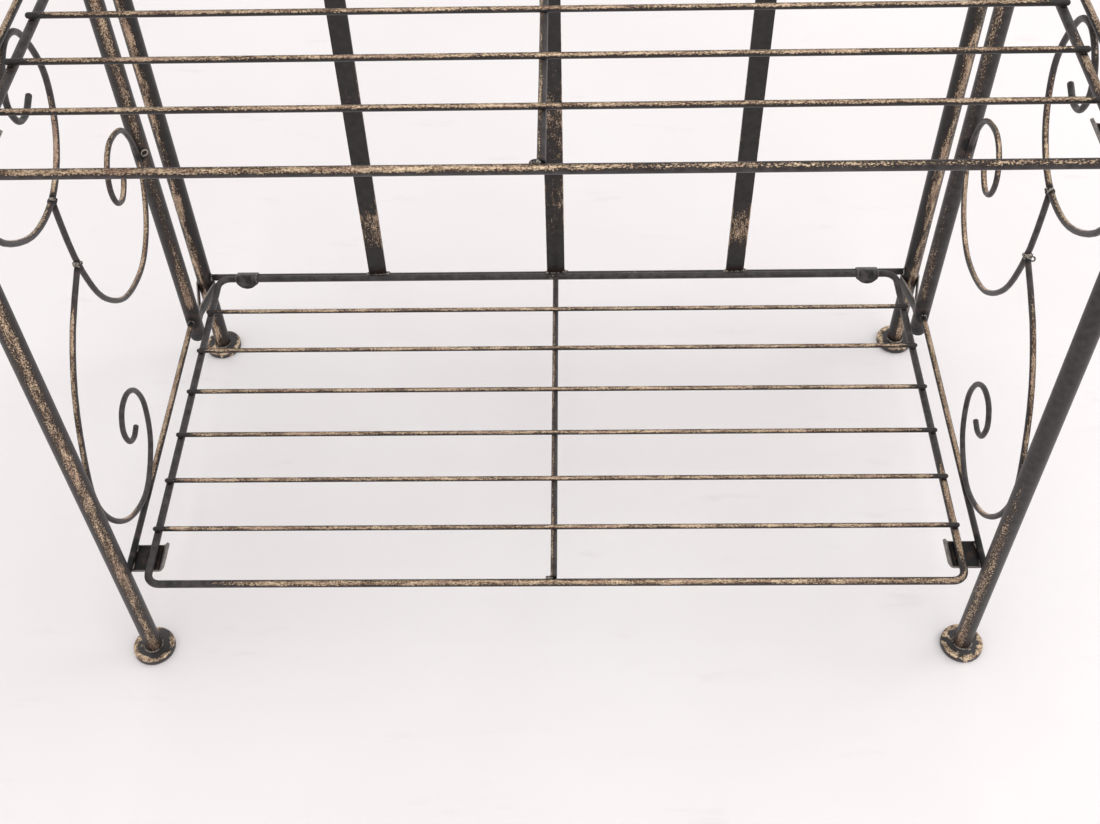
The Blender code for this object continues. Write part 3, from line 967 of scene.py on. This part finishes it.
# Feet and plugs

foot_edge = 0.0015
foot_slope_width = 0.003
foot_slope_drop = 0.0002
foot_scorch = (0.006, 0.008)
plug_tip_chamfer = 0.0005
plug_flange_chamfer = 0.0004
plug_edge = 0.002
foot_turns = 64
plug_turns = 40
corner_steps = 5
pole_merge = 0.00001


def turned(name, profile, place, turns):
    """Turned piece from its half outline, top to bottom, spun round the upright line through a place."""
    deselect_all()
    bpy.ops.mesh.primitive_plane_add(size=1)
    piece = bpy.context.object
    piece.name = name
    bpy.ops.object.mode_set(mode="EDIT")
    bpy.ops.mesh.delete(type="VERT")
    shape = bmesh.from_edit_mesh(piece.data)
    corners = [shape.verts.new((place.x + radius, place.y, place.z + height)) for radius, height in profile]
    for start, end in zip(corners, corners[1:]):
        shape.edges.new((start, end))
    bmesh.update_edit_mesh(piece.data)
    bpy.ops.mesh.select_all(action="SELECT")
    bpy.ops.mesh.spin(steps=turns, angle=2 * math.pi, center=place, axis=(0, 0, 1))
    bpy.ops.object.mode_set(mode="OBJECT")
    close_seams(pole_merge)
    return piece


def arc_corner(radius, height, size, at_top):
    """Rounded outer corner of a half outline, at its top or its bottom."""
    points = []
    for step in range(corner_steps + 1):
        angle = math.pi / 2 * step / corner_steps
        lift = math.cos(angle) if at_top else -math.sin(angle)
        out = math.sin(angle) if at_top else math.cos(angle)
        points.append((radius - size + size * out, height + size * lift))
    return points


def make_foot(node, body, finish):
    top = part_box(node)[1].z
    radius = size_of(node).x / 2
    place = middle_of(node)
    place.z = 0
    profile = [(0, top), (tube_radius, top), (tube_radius + foot_slope_width, top - foot_slope_drop)]
    profile += arc_corner(radius, top - foot_edge, foot_edge, at_top=True)
    profile += arc_corner(radius, foot_edge, foot_edge, at_top=False)
    profile += [(0, 0)]
    foot = turned(node + "_disc", profile, Vector((0, 0, 0)), foot_turns)
    keep_grain(foot, full_rub, shift=0)
    foot.data.transform(Matrix.Translation(place))
    scorch = place + Vector((*foot_scorch, top))
    put(smooth(foot, turned_smooth_angle), body, finish, [node], [scorch])


def make_plug(side, finish):
    node = f"{side}_post_cap"
    place = middle_of(node)
    place.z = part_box(node)[0].z
    height = size_of(node).z
    bore = tube_radius - tube_wall - weld_gap
    profile = [
        (0, height),
        (bore - plug_tip_chamfer, height),
        (bore, height - plug_tip_chamfer),
        (bore, plug_flange),
        (tube_radius - plug_flange_chamfer, plug_flange),
        (tube_radius, plug_flange - plug_flange_chamfer),
    ]
    profile += arc_corner(tube_radius, plug_edge, plug_edge, at_top=False)
    profile += [(0, 0)]
    plug = turned(f"{side}_post_plug", profile, place, plug_turns)
    put(smooth(plug, turned_smooth_angle), f"{side}_side_frame", finish, [node])


# Shelves

wire_sink = 0.0008
wire_rub = ((0, 0.55), (0.012, 0.6), (0.03, 1), (0.97, 1), (0.988, 0.6), (1, 0.55))

# A loop starts at its rear left corner, and its front rod half its length on, at the right. Most front rods
# are rubbed from a little past there until some way before the left corner, and shelf 2's all along.
half_turn = 0.5
bronze_from = 0.015
bronze_fades_from = 0.08
plain_corner = 0.03
evenly_fronted = (2,)


def rubbing_of_loop(number, round_it):
    """How much bronze a shelf's loop gets along its length, which is round_it."""
    across = 2 * shelf_half / round_it
    deep = half_turn - across
    rear_and_right = [
        (0, 0.35), (across, 0.3), (across + 0.6 * deep, 0.3), (across + 0.72 * deep, 1.1),
        (half_turn - 0.01, 1.12), (half_turn, 0.8),
    ]
    if number in evenly_fronted:
        front = [
            (half_turn + 0.42 * across, 0.84), (half_turn + 0.6 * across, 1.03), (half_turn + across, 0.95),
        ]
    else:
        front = [
            (half_turn + bronze_from / round_it, 0.95),
            (half_turn + across - bronze_fades_from / round_it, 1),
            (half_turn + across - plain_corner / round_it, 0.5),
            (half_turn + across, 0.2),
        ]
    return rear_and_right + front + [(1, 0.3)]


def make_shelf(number, loop_finish, wire_finish, rod_finish):
    """Loop, centre rod and wires of a shelf. Gives the places where they are welded."""
    body = f"shelf_{number}"
    level = levels[number]
    corners = [
        (-shelf_half, shelf_back_y, level),
        (shelf_half, shelf_back_y, level),
        (shelf_half, shelf_front_y, level),
        (-shelf_half, shelf_front_y, level),
    ]
    path = rounded(corners, shelf_corner_radius, shelf_corner_steps, closed=True)
    loop = bent_bar(f"shelf_{number}_loop", path, shelf_rod_stock, closed=True,
                    rub=rubbing_of_loop(number, path_length(path, closed=True)))

    wire_z = level + (shelf_rod_diameter + cross_wire_diameter) / 2 + weld_gap
    rod_z = wire_z - (cross_wire_diameter + centre_rod_diameter) / 2 + wire_sink
    past_rods = shelf_rod_diameter / 2
    rod_ends = [Vector((0, y, rod_z)) for y in (shelf_back_y - past_rods, shelf_front_y + past_rods)]
    rod = bent_bar(f"shelf_{number}_centre_rod", rod_ends, centre_rod_stock)

    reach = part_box(f"shelf_{number}_grid")[1].x
    pitch = (shelf_back_y - shelf_front_y) / (cross_wire_count + 1)
    wires = []
    crossings = []
    wire_ends = []
    for index in range(1, cross_wire_count + 1):
        y = shelf_back_y - index * pitch
        path = [Vector((-reach, y, wire_z)), Vector((reach, y, wire_z))]
        wires.append(bent_bar("wire", path, cross_wire_stock, end_round=domed_end, rub=wire_rub))
        crossings.append(Vector((0, y, wire_z - cross_wire_diameter / 2)))
        wire_ends += [Vector((way * shelf_half, y, level + shelf_rod_diameter / 2)) for _, way in sides]
    grid = joined(f"shelf_{number}_wires", wires)
    put(loop, body, loop_finish, [f"shelf_{number}_frame"], wire_ends + rod_ends, shelf_burn_reach)
    put(rod, body, rod_finish, (), rod_ends, shelf_burn_reach)
    put(grid, body, wire_finish, [f"shelf_{number}_grid"])
    return wire_ends, crossings, rod_ends


# Weld beads

bead_patterns = 5
first_bead_seed = 3

# Each weld's beads: where they lie from the weld, and their half sizes
weld_beads = {
    "slat_foot": (
        ((-0.0080, -0.0012, 0.0002), (0.0030, 0.0024, 0.0022)),
        ((-0.0025, -0.0015, 0), (0.0036, 0.0015, 0.0016)),
        ((0.0080, -0.0012, 0.0002), (0.0044, 0.0034, 0.0034)),
        ((0.0025, -0.0015, 0), (0.0036, 0.0015, 0.0016)),
        ((0, 0.0014, 0), (0.0050, 0.0016, 0.0016)),
    ),
    "slat_head": (((0, 0, 0), (0.0055, 0.0020, 0.0014)),),
    "back_rail_end": (((0, 0, 0), (0.0016, 0.0042, 0.0040)),),
    "knot": (
        ((0, 0, 0), (0.0036, 0.0034, 0.0040)),
        ((-0.0022, 0.001, 0.0012), (0.0016, 0.0016, 0.0016)),
    ),
    "scroll_on_rail": (((0, 0, 0), (0.0014, 0.0034, 0.0012)),),
    "scroll_on_tube": (((0, 0, 0), (0.0015, 0.0012, 0.0040)),),
    "side_rail_end": (((0, 0, 0), (0.0034, 0.0015, 0.0034)),),
    "hook": (((-0.002, 0, -0.002), (0.0014, 0.0040, 0.0013)),),
    "strap": (((0, 0, 0), (0.0012, 0.0016, 0.0048)),),
    "wire_end": (((0, 0, 0), (0.0014, 0.0011, 0.0007)),),
    "wire_crossing": (((0, 0, 0), (0.0014, 0.0020, 0.0008)),),
    "centre_rod_end": (((-0.0030, 0, 0), (0.0038, 0.0020, 0.0024)),),
}
hook_weld_offset = 0.008

# Rings of weld: round the tubes on their feet, and, named by side and bay, on posts and as a curl at a knot
foot_ring_thickness = 0.0008
back_ring_seed = 4
front_ring_seed = 5
pitted_posts = (("left", 1), ("right", 2))
pit_radius = 0.0026
pit_thickness = 0.0008
pit_inward = 0.643
pit_ahead = 0.766
curled_knots = (("right", 1),)
curl_radius = 0.0015
curl_thickness = 0.0006
curl_place = (0.0036, -0.001, -0.0012)
curl_way = (0, -0.7, 0.7)


def knead(push, outward, seed, smoothing, rounds):
    """Pushes the corners of the active piece about, and smooths them a little."""
    bpy.ops.object.mode_set(mode="EDIT")
    bpy.ops.mesh.select_all(action="SELECT")
    bpy.ops.transform.vertex_random(offset=push, uniform=0.3, normal=outward, seed=seed)
    bpy.ops.mesh.vertices_smooth(factor=smoothing, repeat=rounds)
    bpy.ops.object.mode_set(mode="OBJECT")


def make_bead_patterns():
    """Lumps of a unit radius, modelled once and copied to every weld."""
    patterns = []
    for index in range(bead_patterns):
        deselect_all()
        bpy.ops.mesh.primitive_ico_sphere_add(subdivisions=2, radius=1)
        lump = bpy.context.object
        knead(push=0.34, outward=0.6, seed=index + first_bead_seed, smoothing=0.35, rounds=1)
        round_off = lump.modifiers.new("round_off", "SUBSURF")
        round_off.levels = 1
        round_off.render_levels = 1
        bpy.ops.object.modifier_apply(modifier="round_off")
        bpy.ops.object.shade_smooth()
        patterns.append(lump)
    return patterns


def bead(patterns, place, size):
    """Copy of a lump with its own mesh."""
    mesh = patterns[luck.randrange(bead_patterns)].data.copy()
    spin = Matrix.Rotation(luck.uniform(math.pi, 3 * math.pi), 4, "Z")
    mesh.transform(Matrix.Translation(place) @ Matrix.Diagonal((*size, 1)) @ spin)
    thing = bpy.data.objects.new("bead", mesh)
    bpy.context.scene.collection.objects.link(thing)
    return thing


def lay_beads(patterns, welds_of_kinds, way=1):
    """The beads of each kind's welds, with their offsets along X mirrored for the way -1."""
    beads = []
    for kind, welds in welds_of_kinds.items():
        for weld in welds:
            for (across, ahead, up), size in weld_beads[kind]:
                beads.append(bead(patterns, weld + Vector((way * across, ahead, up)), size))
    return beads


def ring_bead(place, radius, thickness, seed, way=(0, 0, 1)):
    """Uneven ring of weld round a tube or a pit."""
    deselect_all()
    bpy.ops.mesh.primitive_torus_add(major_radius=radius, minor_radius=thickness, major_segments=40,
                                     minor_segments=10)
    ring = bpy.context.object
    knead(push=thickness * 0.45, outward=0.5, seed=seed, smoothing=0.4, rounds=2)
    bpy.ops.object.shade_smooth()
    turn = Vector(way).to_track_quat("Z", "Y").to_matrix().to_4x4()
    ring.data.transform(Matrix.Translation(place) @ turn)
    return ring


# The unit

def make_finishes():
    """Every finish of the unit. The rubbed bars' ways and edges follow what the photo shows of each."""
    return {
        "left_tube": rubbed_finish(
            "left_tube_paint", (0.46, -0.88, 0.1), edge=0.95, rough=0.30, patchy=0.20, grit=0.8, slate=0.55,
            back_edge=0.97, top_edge=0.93),
        "right_tube": rubbed_finish(
            "right_tube_paint", (-0.68, -0.72, 0.1), edge=1.04, rough=0.35, patchy=0.4, grit=1.2,
            slate=0.65, back_edge=0.97, top_edge=0.93),
        "back_tube": rubbed_finish(
            "back_tube_paint", (0.22, -0.97, 0.1), edge=0.95, rough=0.8, patchy=0.75, grit=0.8, slate=0.3,
            back_edge=1.0, outward=True),
        "back_rail": rubbed_finish("back_rail_paint", (0, -0.4, 0.92), edge=1.15, grit=0.7, slate=0.9),
        "slat": rubbed_finish(
            "slat_paint", (0, -1, 0), edge=1.15, rough=0.9, patchy=0.7, grit=1.2, stretch=0.35, slant=0.9,
            slate=0.35, back_edge=1.2, rim=slat_stock.width / 2),
        "side_rail": rubbed_finish(
            "side_rail_paint", (0, -0.3, 0.95), edge=0.74, rough=0.4, patchy=0.4, grit=0.8),
        "scroll": rubbed_finish(
            "scroll_paint", (0, -0.55, 0.83), edge=0.76, rough=0.45, grit=0.8, tint=0.6, slate=1.0,
            back_edge=0.8),
        "loop": rubbed_finish(
            "shelf_loop_paint", (0, -0.45, 0.9), edge=0.80, rough=0.45, patchy=0.35, grit=0.9, slate=1.0),
        "wire": rubbed_finish("shelf_wire_paint", (0, -0.4, 0.92), edge=0.80, grit=0.9),
        "centre_rod": rubbed_finish(
            "centre_rod_paint", (-0.55, -0.3, 0.78), edge=0.95, patchy=0.6, grit=0.7, slate=1.0),
        "hook": sheet_finish(
            "hook_paint", hook_stock.width, painted_highlight=0.8, rust=0.4, tone=dark_paint, tip=hook_fold),
        "strap": sheet_finish("strap_paint", strap_stock.width, painted_highlight=1.0, rust=0.3, tone=dark_paint),
        "sleeve": sheet_finish("sleeve_paint", sleeve_stock.width, painted_highlight=0.5, rust=0.1, tone=slate_paint),
        "foot": foot_finish(size_of("left_front_foot").x / 2),
        "bead": bead_finish("weld_bead_paint", bright=0.15),
        "ring": bead_finish("weld_ring_paint", bright=0.5),
        "plug": plug_finish(),
    }


def build_back_frame(patterns, finishes):
    make_back_tube(finishes["back_tube"])
    beads = []
    for number in shelf_numbers:
        feet, heads, rail_ends = make_grille(number, finishes["back_rail"], finishes["slat"])
        beads += lay_beads(patterns, {"slat_foot": feet, "slat_head": heads, "back_rail_end": rail_ends})
        for side, _ in sides:
            make_sleeve(number, side, finishes["sleeve"])
    for side, way in sides:
        make_foot(f"{side}_back_foot", "back_frame", finishes["foot"])
        foot_middle = Vector((way * half_spacing, back_y, foot_top))
        beads.append(ring_bead(foot_middle, tube_radius + weld_gap, foot_ring_thickness, back_ring_seed))
    put(joined("back_frame_welds", beads), "back_frame", finishes["bead"])


def build_side_frame(side, way, patterns, finishes):
    body = f"{side}_side_frame"
    x = way * half_spacing
    foot_middle = Vector((x, front_y, foot_top))
    beads = []
    tube_welds = [foot_middle]
    for number in shelf_numbers:
        curls, touching = scroll_paths(way, number)
        make_scrolls(side, number, finishes["scroll"], curls, touching)
        rail_z = middle_of(f"{side}_side_rail_{number}").z
        rail_ends = [Vector((x, y, rail_z)) for y in (front_y + tube_radius, side_post_y - tube_radius)]
        hook_y = middle_of(f"{side}_hook_{number}").y
        hook_welds = [Vector((x, hook_y + edge * hook_weld_offset, rail_z)) for edge in (-1, 1)]
        make_side_rail(side, number, finishes["side_rail"], rail_ends + hook_welds + [touching["on_rail"]])
        make_hook(side, way, number, finishes["hook"])
        tube_welds += rail_ends + [touching["on_leg"], touching["on_post"]]
        beads += lay_beads(patterns, {
            "knot": [touching["lower_knot"], touching["middle_knot"]],
            "scroll_on_rail": [touching["on_rail"], touching["under_rail"]],
            "scroll_on_tube": [touching["on_leg"], touching["on_post"]],
            "side_rail_end": rail_ends,
            "hook": hook_welds,
        }, way)
        if (side, number) in pitted_posts:
            pit_way = Vector((-way * pit_inward, -pit_ahead, 0))
            place = Vector((x, side_post_y, touching["on_post"].z)) + pit_way * tube_radius
            pit = ring_bead(place, pit_radius, pit_thickness, number, pit_way)
            pit.name = f"{side}_post_weld_ring"
            put(pit, body, finishes["ring"])
        if (side, number) in curled_knots:
            place = touching["lower_knot"] + Vector(curl_place)
            beads.append(ring_bead(place, curl_radius, curl_thickness, number, curl_way))
    for index in strap_numbers:
        strap_ends = make_strap(side, way, index, finishes["strap"])
        tube_welds += strap_ends
        beads += lay_beads(patterns, {"strap": strap_ends})
    make_side_tube(side, way, finishes[f"{side}_tube"], tube_welds)
    make_foot(f"{side}_front_foot", body, finishes["foot"])
    make_plug(side, finishes["plug"])
    beads.append(ring_bead(foot_middle, tube_radius + weld_gap, foot_ring_thickness, front_ring_seed))
    put(joined(f"{side}_side_frame_welds", beads), body, finishes["bead"])


def build_shelf(number, patterns, finishes):
    wire_ends, crossings, rod_ends = make_shelf(
        number, finishes["loop"], finishes["wire"], finishes["centre_rod"])
    beads = lay_beads(
        patterns, {"wire_end": wire_ends, "wire_crossing": crossings, "centre_rod_end": rod_ends})
    put(joined(f"shelf_{number}_welds", beads), f"shelf_{number}", finishes["bead"])


def build_unit():
    patterns = make_bead_patterns()
    finishes = make_finishes()
    build_back_frame(patterns, finishes)
    for side, way in sides:
        build_side_frame(side, way, patterns, finishes)
    for number in shelf_numbers:
        build_shelf(number, patterns, finishes)
    for pattern in patterns:
        bpy.data.objects.remove(pattern)


# Floor, light and camera

floor_size = 60
floor_tones = (paint_colour(245, 240, 240), paint_colour(248, 244, 244))
scuff_tone = paint_colour(214, 206, 206)

backdrop_colour = (1, 0.99, 0.985, 1)
backdrop_strength = 0.86
horizon_strength = 0.66
overhead_strength = 0.97
overhead_from = 0.9

Softbox = namedtuple("Softbox", "name place size watts")
softboxes = (
    Softbox("overhead_softbox", (0.3, -0.6, 3.0), 2.2, 18),
    Softbox("side_softbox", (2.4, 0.5, 1.8), 1.4, 14),
)
lit_place = Vector((0, 0, 0.5))

# The camera as it was fitted to the photo
camera_place = (0.01729, -0.72914, 0.94121)
camera_pitch = 0.85986
camera_yaw = -0.02934
camera_roll = 0.02897
focal_pixels = 1340.91
photo_width = 1100
sensor_width = 36
nearest_seen = 0.01


def make_floor():
    deselect_all()
    bpy.ops.mesh.primitive_plane_add(size=floor_size)
    floor = bpy.context.object
    floor.name = "floor"
    finish = Finish("floor_white", roughness=0.6, metallic=0.0)
    place = finish.place()
    mottle = finish.noise(place, scale=3, detail=4)
    tone = finish.blend(mottle.step(0.35, 0.7), *floor_tones)
    streaks = finish.stretched(place, (1, 4, 1), turn=(0, 0, 0.3))
    scuffs = finish.noise(streaks, scale=9, detail=5, roughness=0.6)
    finish.set("Base Color", finish.blend(scuffs.step(0.6, 0.8) * 0.3, tone, scuff_tone))
    floor.data.materials.append(finish.material)


def light_world():
    """Soft light, stronger from above. What is seen and mirrored of it is an even pale backdrop."""
    world = bpy.data.worlds.new("studio")
    world.use_nodes = True
    bpy.context.scene.world = world
    studio = Nodes(world.node_tree)
    height = studio.along(studio.node("ShaderNodeTexCoord", output="Generated"), "Z")
    glow = studio.node("ShaderNodeMapRange", None, {
        "Value": height, "From Min": 0.0, "From Max": overhead_from,
        "To Min": horizon_strength, "To Max": overhead_strength})
    seen = studio.node("ShaderNodeLightPath", output="Is Camera Ray")
    mirrored = studio.node("ShaderNodeLightPath", output="Is Glossy Ray")
    inputs = {"Factor": seen.most(mirrored), "A": glow, "B": backdrop_strength}
    backdrop = world.node_tree.nodes["Background"]
    backdrop.inputs["Color"].default_value = backdrop_colour
    studio.feed(backdrop.inputs["Strength"], studio.node("ShaderNodeMix", None, inputs))


def hang_softboxes():
    for softbox in softboxes:
        light = bpy.data.lights.new(softbox.name, "AREA")
        light.shape = "SQUARE"
        light.size = softbox.size
        light.energy = softbox.watts
        lamp = bpy.data.objects.new(softbox.name, light)
        lamp.location = softbox.place
        lamp.rotation_euler = (lit_place - lamp.location).to_track_quat("-Z", "Y").to_euler()
        bpy.context.scene.collection.objects.link(lamp)


def set_camera():
    """Camera from above the front, at the view that the unit was photographed from."""
    level = math.cos(camera_pitch)
    ahead = Vector((math.sin(camera_yaw) * level, math.cos(camera_yaw) * level, -math.sin(camera_pitch)))
    level_right = Vector((math.cos(camera_yaw), -math.sin(camera_yaw), 0))
    level_down = ahead.cross(level_right)
    right = math.cos(camera_roll) * level_right + math.sin(camera_roll) * level_down
    down = -math.sin(camera_roll) * level_right + math.cos(camera_roll) * level_down
    camera = bpy.data.cameras.new("camera")
    camera.sensor_width = sensor_width
    camera.lens = sensor_width * focal_pixels / photo_width
    camera.clip_start = nearest_seen
    stand = bpy.data.objects.new("camera", camera)
    turn = Matrix((right, -down, -ahead)).transposed().to_4x4()
    stand.matrix_world = Matrix.Translation(camera_place) @ turn
    bpy.context.scene.collection.objects.link(stand)
    bpy.context.scene.camera = stand


build_unit()
make_floor()
light_world()
hang_softboxes()
set_camera()
bpy.context.scene.view_settings.view_transform = "Standard"
